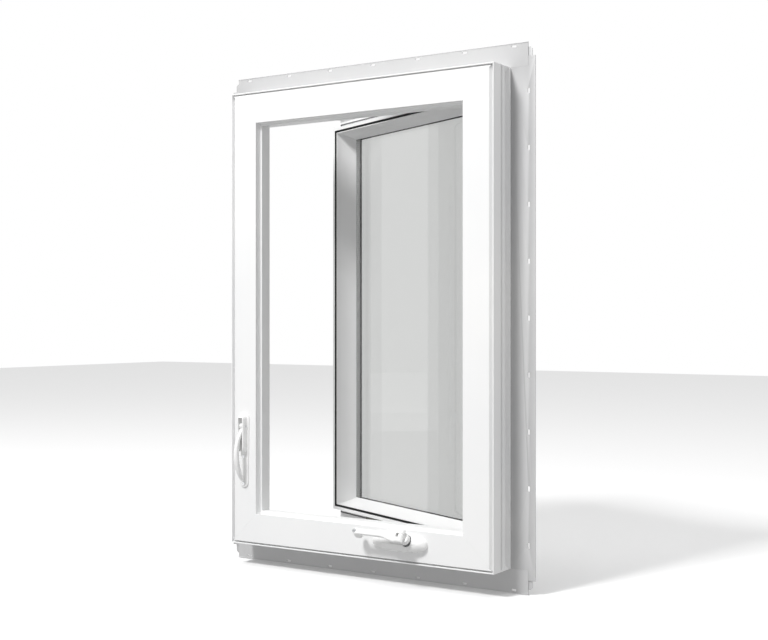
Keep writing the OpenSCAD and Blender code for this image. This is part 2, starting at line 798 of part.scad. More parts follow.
module tie_bar_rollers() {
    color(zinc) seat() for (z = roller_zs) translate([tie_x, hinge_y, z]) rotate([0, 90, 0]) {
        cylinder(h = tie_t + 12, r = 2.5);
        translate([0, 0, tie_t + 2]) cylinder(h = 8, r = 4.4);
    }
}

// Clips that hold the tie bar against the jamb and let it slide
module tie_bar_guides() {
    wall_x = -(half_w - wall_t);
    guide_zs = [-300, -125, 125, 275];
    color("whitesmoke") seat() for (z = guide_zs) difference() {
        block([wall_x, hinge_y - 8, z - 9], [tie_x + tie_t + 1.8, hinge_y + 8, z + 9]);
        block([tie_x - gap, hinge_y - 5 - gap, z - 10], [tie_x + tie_t + gap, hinge_y + 5 + gap, z + 10]);
    }
}

// Bracket on the tie bar whose fork straddles the lever's inner crank
module tie_bar_fork() {
    color(zinc) seat() difference() {
        union() {
            block([tie_x + tie_t, hinge_y - 4, lock_z - 16], [lock_x + 4, hinge_y - 1, lock_z + 4]);
            block([lock_x - 4, 12, lock_z - 16], [lock_x + 4, hinge_y - 4, lock_z + 4]);
        }
        block([lock_x - 5, 11, lock_z - 12], [lock_x + 5, 20, lock_z]);
    }
}

// Ramped keepers on the lock stile that the rollers slide behind
module lock_keepers() {
    color(zinc) sash_place() for (z = roller_zs) {
        block([-half_sw - 2, sash_y + 2, z - 60], [-half_sw, sash_y + sash_step_d, z - 12]);
        block([-half_sw - 12, hinge_y + 5.4, z - 58], [-half_sw - 2, hinge_y + 8, z - 14]);
    }
}

frame_head();
frame_sill();
frame_jamb_lock();
frame_jamb_hinge();
fin_head();
fin_sill();
fin_lock_side();
fin_hinge_side();
fin_corner_gussets();
frame_weatherstrip();
hinge_tracks();
hinge_track_screws();
hinge_shoes();
support_arms();
support_arm_rivets();
sash_hinge_arms();
hinge_arm_pads();
sash_top_rail();
sash_bottom_rail();
sash_lock_stile();
sash_hinge_stile();
bead_top();
bead_bottom();
bead_lock_side();
bead_hinge_side();
pane_inner();
pane_outer();
glass_spacer();
glazing_seal();
setting_blocks();
drip_flap_top();
drip_flap_bottom();
sash_weatherstrip();
roller_track();
lock_keepers();
operator_housing();
operator_cover();
operator_screws();
worm_shaft();
operator_arm();
arm_gear();
arm_axle();
arm_roller();
crank_hub();
crank_setscrew();
crank_fold_pin();
crank_arm();
crank_knob_pin();
crank_knob();
lock_escutcheon();
lock_screws();
lock_lever_pin();
lock_lever();
tie_bar();
tie_bar_rollers();
tie_bar_guides();
tie_bar_fork();
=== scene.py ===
"""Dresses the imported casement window: extruded vinyl frame and sash, glass, crank, lock and hinges.

Shapes are worked out in millimetres with the room face at depth 0, then put in place by in_frame
(parts of the frame), in_sash (parts that swing, drawn shut) or on_crank (parts on the crank's axis).
"""
import json
import math

import bmesh
import bpy
import numpy as np
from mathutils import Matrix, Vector


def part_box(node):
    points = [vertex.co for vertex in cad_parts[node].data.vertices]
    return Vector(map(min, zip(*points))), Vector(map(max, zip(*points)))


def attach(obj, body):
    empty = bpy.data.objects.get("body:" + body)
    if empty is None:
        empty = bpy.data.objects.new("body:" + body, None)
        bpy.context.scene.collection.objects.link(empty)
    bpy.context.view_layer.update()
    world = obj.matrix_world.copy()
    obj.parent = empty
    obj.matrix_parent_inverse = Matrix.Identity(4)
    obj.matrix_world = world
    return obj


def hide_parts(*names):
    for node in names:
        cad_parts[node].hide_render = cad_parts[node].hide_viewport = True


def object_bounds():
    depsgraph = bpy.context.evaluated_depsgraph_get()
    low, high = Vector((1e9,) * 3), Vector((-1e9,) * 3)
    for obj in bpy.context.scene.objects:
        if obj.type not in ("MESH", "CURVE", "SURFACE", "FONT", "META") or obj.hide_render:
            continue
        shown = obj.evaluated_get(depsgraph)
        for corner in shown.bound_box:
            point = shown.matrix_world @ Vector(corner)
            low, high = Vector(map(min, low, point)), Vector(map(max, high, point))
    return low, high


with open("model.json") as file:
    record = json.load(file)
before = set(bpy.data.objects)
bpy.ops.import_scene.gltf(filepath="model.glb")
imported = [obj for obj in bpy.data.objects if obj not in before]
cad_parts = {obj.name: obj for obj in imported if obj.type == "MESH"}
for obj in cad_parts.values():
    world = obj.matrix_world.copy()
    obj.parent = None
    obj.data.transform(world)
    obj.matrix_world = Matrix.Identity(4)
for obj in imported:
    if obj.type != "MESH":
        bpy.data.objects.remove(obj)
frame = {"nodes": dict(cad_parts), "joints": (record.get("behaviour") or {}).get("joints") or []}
cad_low, cad_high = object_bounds()

MM = 0.001
JOINTS = {joint["name"]: joint for joint in frame["joints"]}
NODES = frame["nodes"]

# ---------- sizes, millimetres ----------

ROOM_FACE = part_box("frame_head")[0].y / MM          # depth of the room face in the row frame
FRAME_W = 2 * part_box("frame_head")[1].x / MM
FRAME_H = 2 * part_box("frame_head")[1].z / MM
SASH_W = 512.0
SASH_H = 816.0
SASH_STEP = 16.0                                    # weather side stands out this far beyond the body
STOP_DEPTH = 38.0                                   # the shut sash lies behind this depth
SASH_DEPTH_0 = 39.0
PANE_DEPTH = SASH_DEPTH_0 + 44.0                    # room side of the glass unit, sash shut
PANE_T = 3.0
UNIT_T = 19.0
UNIT_INSET = 10.0                                   # edge of the glass unit, in from the body's outside
HINGE_DEPTH = 49.0
SHOE_SHUT_X = 252.0                                 # shoe pin across the window when shut
SASH_ANGLE = math.radians(-JOINTS["sash_swing"]["range_deg"][0] / 2)
SHOE_PIN = np.array(JOINTS["hinge_shoe_turn"]["pos_m"]) / MM
CRANK_POINT = np.array(JOINTS["crank_turn"]["pos_m"])
CRANK_OUT = np.array(JOINTS["crank_turn"]["axis"])
CRANK_UP = np.array(JOINTS["crank_fold"]["axis"])
FOLD_T = 36.0                                       # fold pin along the crank's axis
CRANK_R = 100.0
LEVER_PIN = np.array(JOINTS["lock_lever_swing"]["pos_m"]) / MM
FIN_SLOT_PITCH = 101.6
FIN_SLOT_Z = 488.7
FIN_T = 1.8
FIN_REACH = 43.2                                    # a fin stands out this far beyond the frame
FIN_HALF_L = 333.45                                 # half the length of the head and sill fins


# ---------- putting shapes in place ----------

def in_frame(points):
    """Millimetres with the room face at depth 0, to metres in the row frame."""
    return (points + np.array([0, ROOM_FACE, 0])) * MM


def in_sash(points):
    """A shut sash point turned by the opening angle about the shoe pin:
    x' = x cos + y sin, y' = y cos - x sin."""
    along = points[:, 0] - SHOE_SHUT_X
    deep = points[:, 1] - HINGE_DEPTH
    swung = np.column_stack([
        SHOE_PIN[0] + along * math.cos(SASH_ANGLE) + deep * math.sin(SASH_ANGLE),
        SHOE_PIN[1] - along * math.sin(SASH_ANGLE) + deep * math.cos(SASH_ANGLE),
        points[:, 2]])
    return swung * MM


def on_crank(points):
    """(across, up, out) along the crank's own three directions, from where its axis meets the room face."""
    out = points[:, 2:3] * CRANK_OUT
    up = points[:, 1:2] * CRANK_UP
    across = points[:, 0:1] * np.array([1.0, 0, 0])
    return CRANK_POINT + (out + up + across) * MM


# ---------- outlines and surfaces ----------

def rounded(outline, radius, steps=3):
    """A closed outline with each corner turned into a curve that leaves one edge and joins the next:
    (1-s)^2 A + 2s(1-s) P + s^2 C, where A and C lie one radius from the corner P."""
    corner = np.array(outline, float)
    before = np.roll(corner, 1, axis=0) - corner
    after = np.roll(corner, -1, axis=0) - corner
    room = np.minimum(np.linalg.norm(before, axis=1), np.linalg.norm(after, axis=1))
    reach = np.minimum(radius, 0.45 * room)[:, None]
    start = corner + before / np.linalg.norm(before, axis=1)[:, None] * reach
    end = corner + after / np.linalg.norm(after, axis=1)[:, None] * reach
    s = np.linspace(0, 1, steps + 1)[None, :, None]
    curve = (1 - s) ** 2 * start[:, None] + 2 * s * (1 - s) * corner[:, None] + s ** 2 * end[:, None]
    return curve.reshape(-1, 2)


def grid_faces(rows, columns, rows_close=False, columns_close=True):
    """Four-sided faces of a rows by columns grid of points, optionally closed in either direction."""
    r = np.arange(rows if rows_close else rows - 1)
    c = np.arange(columns if columns_close else columns - 1)
    r, c = np.meshgrid(r, c, indexing="ij")
    r2 = (r + 1) % rows
    c2 = (c + 1) % columns
    faces = np.stack([r * columns + c, r * columns + c2, r2 * columns + c2, r2 * columns + c], axis=-1)
    return faces.reshape(-1, 4).tolist()


SIDES = {"top": (0, 1), "right": (1, 2), "bottom": (2, 3), "left": (3, 0)}
CORNERS = np.array([(-1, 1), (1, 1), (1, -1), (-1, -1)])


def mitred(outline, width, height, side=None, weld=0.08):
    """An outline of (inward, depth) points carried along one side of a rectangle, or round all four:
    each point sits at corner sign x (half size - inward), so the ends are cut at 45 degrees.
    weld draws a single bar's ends back to leave the fine line of a welded corner."""
    outline = np.array(outline, float)
    signs = CORNERS if side is None else CORNERS[list(SIDES[side])]
    x = signs[:, 0:1] * (width / 2 - outline[None, :, 0])
    z = signs[:, 1:2] * (height / 2 - outline[None, :, 0])
    if side in ("top", "bottom"):
        x -= signs[:, 0:1] * weld
    if side in ("left", "right"):
        z -= signs[:, 1:2] * weld
    y = np.broadcast_to(outline[None, :, 1], x.shape)
    points = np.stack([x, y, z], axis=-1).reshape(-1, 3)
    count = len(outline)
    faces = grid_faces(len(signs), count, rows_close=side is None)
    if side is not None:
        faces += [list(range(count)), list(range(count, 2 * count))]
    return points, faces


def slab(width, height, depth_0, depth_1, edge):
    """A thin plate with ground edges: its rim outline goes round the rectangle, and two faces close it."""
    rim = np.array([(edge, depth_0), (0, depth_0 + edge), (0, depth_1 - edge), (edge, depth_1)])
    x = CORNERS[:, 0:1] * (width / 2 - rim[None, :, 0])
    z = CORNERS[:, 1:2] * (height / 2 - rim[None, :, 0])
    y = np.broadcast_to(rim[None, :, 1], x.shape)
    points = np.stack([x, y, z], axis=-1).reshape(-1, 3)
    faces = grid_faces(4, 4, rows_close=True, columns_close=False)
    return points, faces + [[0, 4, 8, 12], [3, 7, 11, 15]]


def turned(profile, steps=48):
    """(radius, height) points turned about the third axis; ends with radius 0 meet in one point."""
    profile = np.array(profile, float)
    angle = np.arange(steps) / steps * 2 * math.pi
    x = profile[:, 0:1] * np.cos(angle)
    y = profile[:, 0:1] * np.sin(angle)
    z = np.broadcast_to(profile[:, 1:2], x.shape)
    points = np.stack([x, y, z], axis=-1).reshape(-1, 3)
    return points, grid_faces(len(profile), steps)


def oval(angle, power):
    """Unit superellipse, |x|^power + |y|^power = 1, as cos and sin raised to 2/power with their signs."""
    c, s = np.cos(angle), np.sin(angle)
    return np.sign(c) * np.abs(c) ** (2 / power), np.sign(s) * np.abs(s) ** (2 / power)


def lofted(centres, side_dir, rise_dir, half_side, half_rise, power=3.0, steps=28):
    """A bar with a superellipse section: centre + half_side x oval cosine x side_dir
    + half_rise x oval sine x rise_dir at each station, with a flat face at each end."""
    angle = np.arange(steps) / steps * 2 * math.pi
    c, s = oval(angle, power)
    points = (centres[:, None] + half_side[:, None, None] * c[None, :, None] * side_dir[:, None]
              + half_rise[:, None, None] * s[None, :, None] * rise_dir[:, None])
    count = len(centres)
    faces = grid_faces(count, steps)
    faces += [list(range(steps)), list(range((count - 1) * steps, count * steps))]
    return points.reshape(-1, 3), faces


def capsules(middles, length, width, depth_0, depth_1, along_x):
    """Round-ended slots as solid cutters: at each middle, an outline of two half circles joined by
    straight sides, drawn from one depth to the other."""
    reach = (length - width) / 2
    angle = np.linspace(-math.pi / 2, math.pi / 2, 9)
    end = np.column_stack([reach + width / 2 * np.cos(angle), width / 2 * np.sin(angle)])
    outline = np.vstack([end, -end])
    if not along_x:
        outline = outline[:, ::-1]
    count = len(outline)
    points, faces = [], []
    for number, middle in enumerate(middles):
        first = 2 * count * number
        flat = np.tile(outline + np.array(middle), (2, 1))
        points.append(np.column_stack([flat[:, 0], np.repeat([depth_0, depth_1], count), flat[:, 1]]))
        faces += [[first + i for i in f] for f in grid_faces(2, count)]
        faces += [[first + i for i in range(count)], [first + count + i for i in range(count)]]
    return np.vstack(points), faces


def box_points(low, high):
    """The eight corners and six faces of a cutter between two opposite corners."""
    low, high = np.array(low, float), np.array(high, float)
    pick = np.indices((2, 2, 2)).reshape(3, 8).T
    faces = [[0, 1, 3, 2], [4, 6, 7, 5], [0, 4, 5, 1], [2, 3, 7, 6], [0, 2, 6, 4], [1, 5, 7, 3]]
    return low + pick * (high - low), faces


# ---------- meshes and pieces ----------

def new_object(name, points, faces):
    """A mesh object from metre points, with doubles merged and every face turned outwards."""
    mesh = bpy.data.meshes.new(name)
    mesh.from_pydata(points.tolist(), [], faces)
    bm = bmesh.new()
    bm.from_mesh(mesh)
    bmesh.ops.remove_doubles(bm, verts=bm.verts, dist=1e-6)
    bmesh.ops.recalc_face_normals(bm, faces=bm.faces)
    bm.to_mesh(mesh)
    bm.free()
    obj = bpy.data.objects.new(name, mesh)
    bpy.context.scene.collection.objects.link(obj)
    return obj


def settle(obj):
    """The object's modifiers worked into its mesh."""
    done = bpy.data.meshes.new_from_object(obj.evaluated_get(bpy.context.evaluated_depsgraph_get()))
    obj.modifiers.clear()
    obj.data = done


def combine(obj, operation, shapes):
    """Each (points, faces) shape added to the object or taken out of it, one after another."""
    for points, faces in shapes:
        other = new_object("other_shape", points, faces)
        step = obj.modifiers.new("combine", "BOOLEAN")
        step.object = other
        step.operation = operation
        step.solver = "EXACT"
        bpy.context.view_layer.update()
        settle(obj)
        bpy.data.objects.remove(other)


def join_on(obj, *shapes):
    combine(obj, "UNION", shapes)


def cut_away(obj, *shapes):
    combine(obj, "DIFFERENCE", shapes)


def smooth_faces(obj, degrees):
    """Smooth shading that keeps edges sharper than this angle crisp."""
    obj.data.shade_smooth()
    obj.data.set_sharp_from_angle(angle=math.radians(degrees))


def finish_piece(obj, body, slot_name, material, *nodes):
    """The piece gets its finish, rides on its body and stands for its CAD nodes."""
    obj.data.materials.clear()
    obj.data.materials.append(material)
    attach(obj, body)
    if nodes:
        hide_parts(*nodes)
    return obj


def bevelled(obj, width, segments=2, degrees=35):
    """Narrow rounded edges on a hard-edged piece."""
    edge = obj.modifiers.new("edges", "BEVEL")
    edge.width = width * MM
    edge.segments = segments
    edge.limit_method = "ANGLE"
    edge.angle_limit = math.radians(degrees)
    edge.harden_normals = True
    obj.data.shade_smooth()
    return obj


def eased_copy(node, width, segments=2):
    """A merged copy of a CAD node's own mesh, its flat faces joined up, with rounded edges."""
    source = NODES[node]
    bm = bmesh.new()
    bm.from_mesh(source.data)
    bmesh.ops.remove_doubles(bm, verts=bm.verts, dist=2e-6)
    bmesh.ops.dissolve_limit(bm, angle_limit=math.radians(0.8), verts=bm.verts, edges=bm.edges)
    mesh = bpy.data.meshes.new(node + "_eased")
    bm.to_mesh(mesh)
    bm.free()
    obj = bpy.data.objects.new(node + "_eased", mesh)
    bpy.context.scene.collection.objects.link(obj)
    return bevelled(obj, width, segments)


# ---------- finishes ----------

def finish(name, colour, roughness, metallic=0.0, specular=0.5):
    """A material with one Principled shader. Returns both."""
    material = bpy.data.materials.new(name)
    material.use_nodes = True
    shader = material.node_tree.nodes["Principled BSDF"]
    shader.inputs["Base Color"].default_value = (*colour, 1)
    shader.inputs["Roughness"].default_value = roughness
    shader.inputs["Metallic"].default_value = metallic
    shader.inputs["Specular IOR Level"].default_value = specular
    return material, shader


def coordinates(material, scale):
    """Object coordinates stretched by scale along the three axes."""
    nodes, links = material.node_tree.nodes, material.node_tree.links
    place = nodes.new("ShaderNodeTexCoord")
    mapping = nodes.new("ShaderNodeMapping")
    mapping.inputs["Scale"].default_value = scale
    links.new(place.outputs["Object"], mapping.inputs["Vector"])
    return mapping.outputs["Vector"]


def noise(material, scale, fineness, detail=3.0):
    """Noise on stretched object coordinates."""
    node = material.node_tree.nodes.new("ShaderNodeTexNoise")
    node.inputs["Scale"].default_value = fineness
    node.inputs["Detail"].default_value = detail
    material.node_tree.links.new(coordinates(material, scale), node.inputs["Vector"])
    return node.outputs["Fac"]


def spread(material, value, low, high):
    """A 0 to 1 value spread between low and high."""
    node = material.node_tree.nodes.new("ShaderNodeMapRange")
    node.inputs["From Min"].default_value = 0.3
    node.inputs["From Max"].default_value = 0.7
    node.inputs["To Min"].default_value = low
    node.inputs["To Max"].default_value = high
    material.node_tree.links.new(value, node.inputs["Value"])
    return node.outputs["Result"]


def tint(material, value, dark, light):
    """A colour between dark and light by a 0 to 1 value."""
    node = material.node_tree.nodes.new("ShaderNodeValToRGB")
    node.color_ramp.elements[0].position = 0.3
    node.color_ramp.elements[1].position = 0.7
    node.color_ramp.elements[0].color = (*dark, 1)
    node.color_ramp.elements[1].color = (*light, 1)
    material.node_tree.links.new(value, node.inputs["Fac"])
    return node.outputs["Color"]


def relief(material, height, depth_mm, strength=1.0, under=None):
    """A bump of the given depth from a height value, on top of an earlier bump."""
    node = material.node_tree.nodes.new("ShaderNodeBump")
    node.inputs["Strength"].default_value = strength
    node.inputs["Distance"].default_value = depth_mm * MM
    material.node_tree.links.new(height, node.inputs["Height"])
    if under is not None:
        material.node_tree.links.new(under, node.inputs["Normal"])
    return node.outputs["Normal"]


def extruded_vinyl(name, along, dark=(0.875, 0.878, 0.88), light=(0.91, 0.91, 0.905)):
    """White vinyl with faint die lines along the bar and the slight waviness of an extrusion."""
    material, shader = finish(name, light, 0.38)
    links = material.node_tree.links
    lengthwise = [1.0, 1.0, 1.0]
    lengthwise[along] = 0.01
    die_lines = noise(material, lengthwise, 420.0, 2.0)
    waves = noise(material, (1, 1, 1), 14.0, 2.0)
    shade = noise(material, (1, 1, 1), 5.0, 3.0)
    normal = relief(material, die_lines, 0.012)
    normal = relief(material, waves, 0.05, 0.2, normal)
    links.new(normal, shader.inputs["Normal"])
    links.new(spread(material, shade, 0.33, 0.43), shader.inputs["Roughness"])
    links.new(tint(material, shade, dark, light), shader.inputs["Base Color"])
    return material


def painted_casting(name):
    """White painted casting: semi-gloss, with fine orange peel."""
    material, shader = finish(name, (0.9, 0.9, 0.895), 0.28)
    links = material.node_tree.links
    peel = noise(material, (1, 1, 1), 700.0, 2.0)
    shade = noise(material, (1, 1, 1), 30.0, 3.0)
    links.new(relief(material, peel, 0.02), shader.inputs["Normal"])
    links.new(spread(material, shade, 0.24, 0.34), shader.inputs["Roughness"])
    links.new(tint(material, shade, (0.88, 0.88, 0.875), (0.915, 0.915, 0.91)), shader.inputs["Base Color"])
    shader.inputs["Coat Weight"].default_value = 0.25
    shader.inputs["Coat Roughness"].default_value = 0.15
    return material


def window_glass(name):
    """Clear float glass, lightly coated, with the faint roll waves of flat glass."""
    material, shader = finish(name, (0.905, 0.91, 0.905), 0.0)
    links = material.node_tree.links
    shader.inputs["Transmission Weight"].default_value = 1.0
    shader.inputs["IOR"].default_value = 1.45
    waves = noise(material, (1, 1, 0.15), 6.0, 1.0)
    links.new(relief(material, waves, 0.01), shader.inputs["Normal"])
    return material


def brushed_steel(name, dark, light, roughness, along=0):
    """Rolled steel strip with fine brushing along one axis."""
    material, shader = finish(name, light, roughness, metallic=1.0)
    links = material.node_tree.links
    lengthwise = [1.0, 1.0, 1.0]
    lengthwise[along] = 0.03
    grain = noise(material, lengthwise, 900.0, 2.0)
    patches = noise(material, (1, 1, 1), 60.0, 4.0)
    links.new(relief(material, grain, 0.008), shader.inputs["Normal"])
    links.new(spread(material, grain, roughness - 0.07, roughness + 0.07), shader.inputs["Roughness"])
    links.new(tint(material, patches, dark, light), shader.inputs["Base Color"])
    return material


def plated_zinc(name):
    """Zinc-plated casting: pale grey spangle with a soft shine."""
    material, shader = finish(name, (0.62, 0.63, 0.64), 0.42, metallic=0.85)
    links = material.node_tree.links
    cells = material.node_tree.nodes.new("ShaderNodeTexVoronoi")
    cells.inputs["Scale"].default_value = 260.0
    links.new(coordinates(material, (1, 1, 1)), cells.inputs["Vector"])
    grain = noise(material, (1, 1, 1), 900.0, 3.0)
    links.new(relief(material, grain, 0.02), shader.inputs["Normal"])
    links.new(spread(material, cells.outputs["Distance"], 0.34, 0.5), shader.inputs["Roughness"])
    links.new(tint(material, cells.outputs["Distance"], (0.5, 0.51, 0.53), (0.68, 0.69, 0.7)),
              shader.inputs["Base Color"])
    return material


def soft_rubber(name, dark, light):
    """Matt rubber or foam with a fine pitted skin."""
    material, shader = finish(name, light, 0.75)
    links = material.node_tree.links
    pits = noise(material, (1, 1, 1), 800.0, 4.0)
    links.new(relief(material, pits, 0.05), shader.inputs["Normal"])
    links.new(spread(material, pits, 0.65, 0.85), shader.inputs["Roughness"])
    links.new(tint(material, pits, dark, light), shader.inputs["Base Color"])
    return material


def pierced_spacer(name):
    """Dull aluminium spacer bar, pierced with a row of fine holes for its drying beads."""
    material, shader = finish(name, (0.55, 0.56, 0.57), 0.45, metallic=0.6)
    links = material.node_tree.links
    dots = material.node_tree.nodes.new("ShaderNodeTexVoronoi")
    dots.inputs["Scale"].default_value = 220.0
    dots.inputs["Randomness"].default_value = 0.0
    links.new(coordinates(material, (1, 1, 1)), dots.inputs["Vector"])
    links.new(relief(material, dots.outputs["Distance"], 0.15), shader.inputs["Normal"])
    links.new(tint(material, dots.outputs["Distance"], (0.5, 0.5, 0.5), (0.74, 0.74, 0.74)),
              shader.inputs["Base Color"])
    links.new(spread(material, dots.outputs["Distance"], 0.55, 0.4), shader.inputs["Roughness"])
    return material


VINYL_LEVEL = extruded_vinyl("vinyl_level", 0)
VINYL_UPRIGHT = extruded_vinyl("vinyl_upright", 2)
# The fins get the frame's vinyl at about half its brightness: painted shade for the dimmer light on fins set
# back behind the frame.
FIN_PAINTED_SHADE_TONES = ((0.53, 0.53, 0.535), (0.57, 0.57, 0.57))
FIN_LEVEL_PAINTED_SHADE = extruded_vinyl("fin_vinyl_painted_shade_level", 0, *FIN_PAINTED_SHADE_TONES)
FIN_UPRIGHT_PAINTED_SHADE = extruded_vinyl("fin_vinyl_painted_shade_upright", 2, *FIN_PAINTED_SHADE_TONES)
CASTING = painted_casting("white_casting")
GLASS = window_glass("window_glass")
STEEL = brushed_steel("steel_strip", (0.56, 0.57, 0.58), (0.7, 0.71, 0.72), 0.3)
STEEL_UPRIGHT = brushed_steel("steel_strip_upright", (0.56, 0.57, 0.58), (0.7, 0.71, 0.72), 0.3, along=2)
# Nearly black olive steel for the roller track and operator arm: painted shade, the dark tone of the shadow
# these parts sit in.
STEEL_PAINTED_SHADE = brushed_steel("steel_in_painted_shade", (0.055, 0.056, 0.045), (0.1, 0.1, 0.085), 0.45)
ZINC = plated_zinc("plated_zinc")
NYLON = soft_rubber("white_nylon", (0.7, 0.7, 0.67), (0.78, 0.78, 0.75))
SEAL_BLACK = soft_rubber("black_seal", (0.015, 0.015, 0.016), (0.03, 0.03, 0.032))
SEAL_GREY = soft_rubber("grey_seal", (0.12, 0.12, 0.125), (0.18, 0.18, 0.185))
NEOPRENE = soft_rubber("setting_block_rubber", (0.06, 0.06, 0.062), (0.1, 0.1, 0.105))
SPACER = pierced_spacer("pierced_spacer")


# ---------- frame ----------

FACE_W = 62.5                   # raised face and reveal, measured in from the outside
REVEAL_STEP = 5.0
FRAME_OUTLINE = [
    (0, 0), (0, 27), (6, 27), (6, 33.5), (0, 33.5), (0, 38.5), (8, 38.5), (8, 59), (0, 59),
    (0, 100), (10, 100), (10, STOP_DEPTH), (FACE_W + REVEAL_STEP, STOP_DEPTH),
    (FACE_W + REVEAL_STEP, 13), (FACE_W, 13), (FACE_W, 0)]
GROOVES_END = 9                 # the outline's first points, up to here, are the two outer grooves
# The head and sill have no outer grooves, so they close the ends of the jambs' ones.
LEVEL_OUTLINE = [FRAME_OUTLINE[0]] + FRAME_OUTLINE[GROOVES_END:]
# A wide shadow line beside the raised face, and a narrow one above and below it.
UPRIGHT_LIP = [(9.4, 0), (8.6, 0.8), (3.4, 8), (2.2, 8), (2, 0)]
LEVEL_LIP = [(5.4, 0), (5.2, 9), (2.5, 9), (2.3, 0)]
FLOOR_Z = -(FRAME_H / 2 - 10)   # top of the sill inside the sash pocket
GEAR_X = JOINTS["operator_arm_swing"]["pos_m"][0] / MM
CRANK_X = CRANK_POINT[0] / MM


def bar(name, node, outline, size, side, place, body, slot_name, material, ease=0.5):
    """One mitred bar of a frame or sash, its outline's corners eased."""
    points, faces = mitred(rounded(outline, ease), size[0], size[1], side)
    obj = new_object(name, place(points), faces)
    return finish_piece(obj, body, slot_name, material, node)


def frame_bars():
    """The four bars. The sill is cut for the operator and the crank's barrel, the lock jamb for the lever."""
    size = (FRAME_W, FRAME_H)
    common = (in_frame, "frame", "white_vinyl")
    bar("frame_head_bar", "frame_head", LEVEL_OUTLINE + LEVEL_LIP, size, "top", *common, VINYL_LEVEL)
    sill = bar("frame_sill_bar", "frame_sill", LEVEL_OUTLINE + LEVEL_LIP, size, "bottom", *common,
               VINYL_LEVEL)
    pocket = box_points((GEAR_X - 39, 10, FLOOR_Z - 3.5), (CRANK_X + 18, 59, FLOOR_Z + 8.6))
    barrel = turned([(0, -52), (7.2, -52), (7.2, -34), (11.3, -34), (11.3, 16), (0, 16)], 32)
    cut_away(sill, (in_frame(pocket[0]), pocket[1]), (on_crank(barrel[0]), barrel[1]))
    lock_jamb = bar("frame_jamb_lock_bar", "frame_jamb_lock", FRAME_OUTLINE + UPRIGHT_LIP, size, "left",
                    *common, VINYL_UPRIGHT)
    slot_hole = box_points((LEVER_PIN[0] - 6, -1, LEVER_PIN[2] - 48),
                           (LEVER_PIN[0] + 6, STOP_DEPTH + 1, LEVER_PIN[2] + 18))
    cut_away(lock_jamb, (in_frame(slot_hole[0]), slot_hole[1]))
    bar("frame_jamb_hinge_bar", "frame_jamb_hinge", FRAME_OUTLINE + UPRIGHT_LIP, size, "right", *common,
        VINYL_UPRIGHT)


def bulb_seal(name, node, width, height, inset, depth_0, depth_1, place, body):
    """A round bulb seal: four fifths of a circle, closed by its chord, carried round all four sides."""
    middle = (depth_0 + depth_1) / 2
    radius = (depth_1 - depth_0) / 2
    angle = np.linspace(-0.8 * math.pi, 0.8 * math.pi, 13)
    bulb = np.column_stack([inset + radius + radius * np.cos(angle), middle + radius * np.sin(angle)])
    points, faces = mitred(bulb, width, height)
    obj = new_object(name, place(points), faces)
    smooth_faces(obj, 50)
    return finish_piece(obj, body, "grey_seal", SEAL_GREY, node)


def nail_fins():
    """Thin fins with nail slots, a thicker root along the frame and a rolled outer edge."""
    for name, node, sign in (("fin_head_strip", "fin_head", 1), ("fin_sill_strip", "fin_sill", -1)):
        across = rounded([(0, 0), (FIN_REACH - 1.6, 0), (FIN_REACH - 1.2, -0.7), (FIN_REACH, -0.7),
                          (FIN_REACH, FIN_T), (3, FIN_T), (3, 4), (0, 4)], 0.3, 2)
        z = sign * (FRAME_H / 2 + across[:, 0])
        count = len(across)
        x = np.repeat([-FIN_HALF_L, FIN_HALF_L], count)
        points = np.column_stack([x, np.tile(across[:, 1], 2), np.tile(z, 2)])
        faces = grid_faces(2, count) + [list(range(count)), list(range(count, 2 * count))]
        obj = new_object(name, points * MM, faces)
        middles = [(k * FIN_SLOT_PITCH, sign * FIN_SLOT_Z) for k in range(-3, 4)]
        slots = capsules(middles, 10, 4, -3, FIN_T + 3, True)
        cut_away(obj, (slots[0] * MM, slots[1]))
        finish_piece(obj, "frame", "white_vinyl", FIN_LEVEL_PAINTED_SHADE, node)
    for node in ("fin_lock_side", "fin_hinge_side"):
        obj = eased_copy(node, 0.3)
        finish_piece(obj, "frame", "white_vinyl", FIN_UPRIGHT_PAINTED_SHADE, node)
    finish_piece(eased_copy("fin_corner_gussets", 0.3), "frame", "white_vinyl", FIN_LEVEL_PAINTED_SHADE,
                 "fin_corner_gussets")


frame_bars()
nail_fins()


# ---------- sash ----------

SIGHT_LINE = 14.0               # weather side's edge over the glass
STRIP_W = 6.6                   # flat strip of the sash's room face
BACK = SASH_DEPTH_0 + 66.0
SASH_OUTLINE = [
    (0, SASH_DEPTH_0), (0, SASH_DEPTH_0 + 28), (-SASH_STEP, SASH_DEPTH_0 + 28), (-SASH_STEP, BACK),
    (SIGHT_LINE, BACK), (SIGHT_LINE, PANE_DEPTH + UNIT_T + 0.6), (STRIP_W + 0.5, PANE_DEPTH + UNIT_T + 0.6),
    (STRIP_W + 0.5, SASH_DEPTH_0 + 8.6), (STRIP_W, SASH_DEPTH_0 + 8.6), (STRIP_W, SASH_DEPTH_0)]
BEAD_GAP = 3.8                  # shadow groove between the sash's face strip and its beads
BEAD_FOOT = 24.0                # the bead meets the glass this far in from the body's outside
SPACER_W = 9.5


def bead_outline():
    """A snap-in bead: a rounded nose towards the room, then a wall that leans in to the glass,
    inward = start + rise x s^1.6 down its depth."""
    start = STRIP_W + BEAD_GAP
    nose = np.array([(start, PANE_DEPTH), (start, SASH_DEPTH_0 + 3.2), (start + 0.5, SASH_DEPTH_0 + 2.2),
                     (start + 1.4, SASH_DEPTH_0 + 1.9)])
    s = np.linspace(0, 1, 9)
    inward = start + 2 + (BEAD_FOOT - start - 2) * s ** 1.6
    depth = SASH_DEPTH_0 + 2.4 + (PANE_DEPTH - SASH_DEPTH_0 - 2.4) * s
    return np.vstack([nose, np.column_stack([inward, depth])])


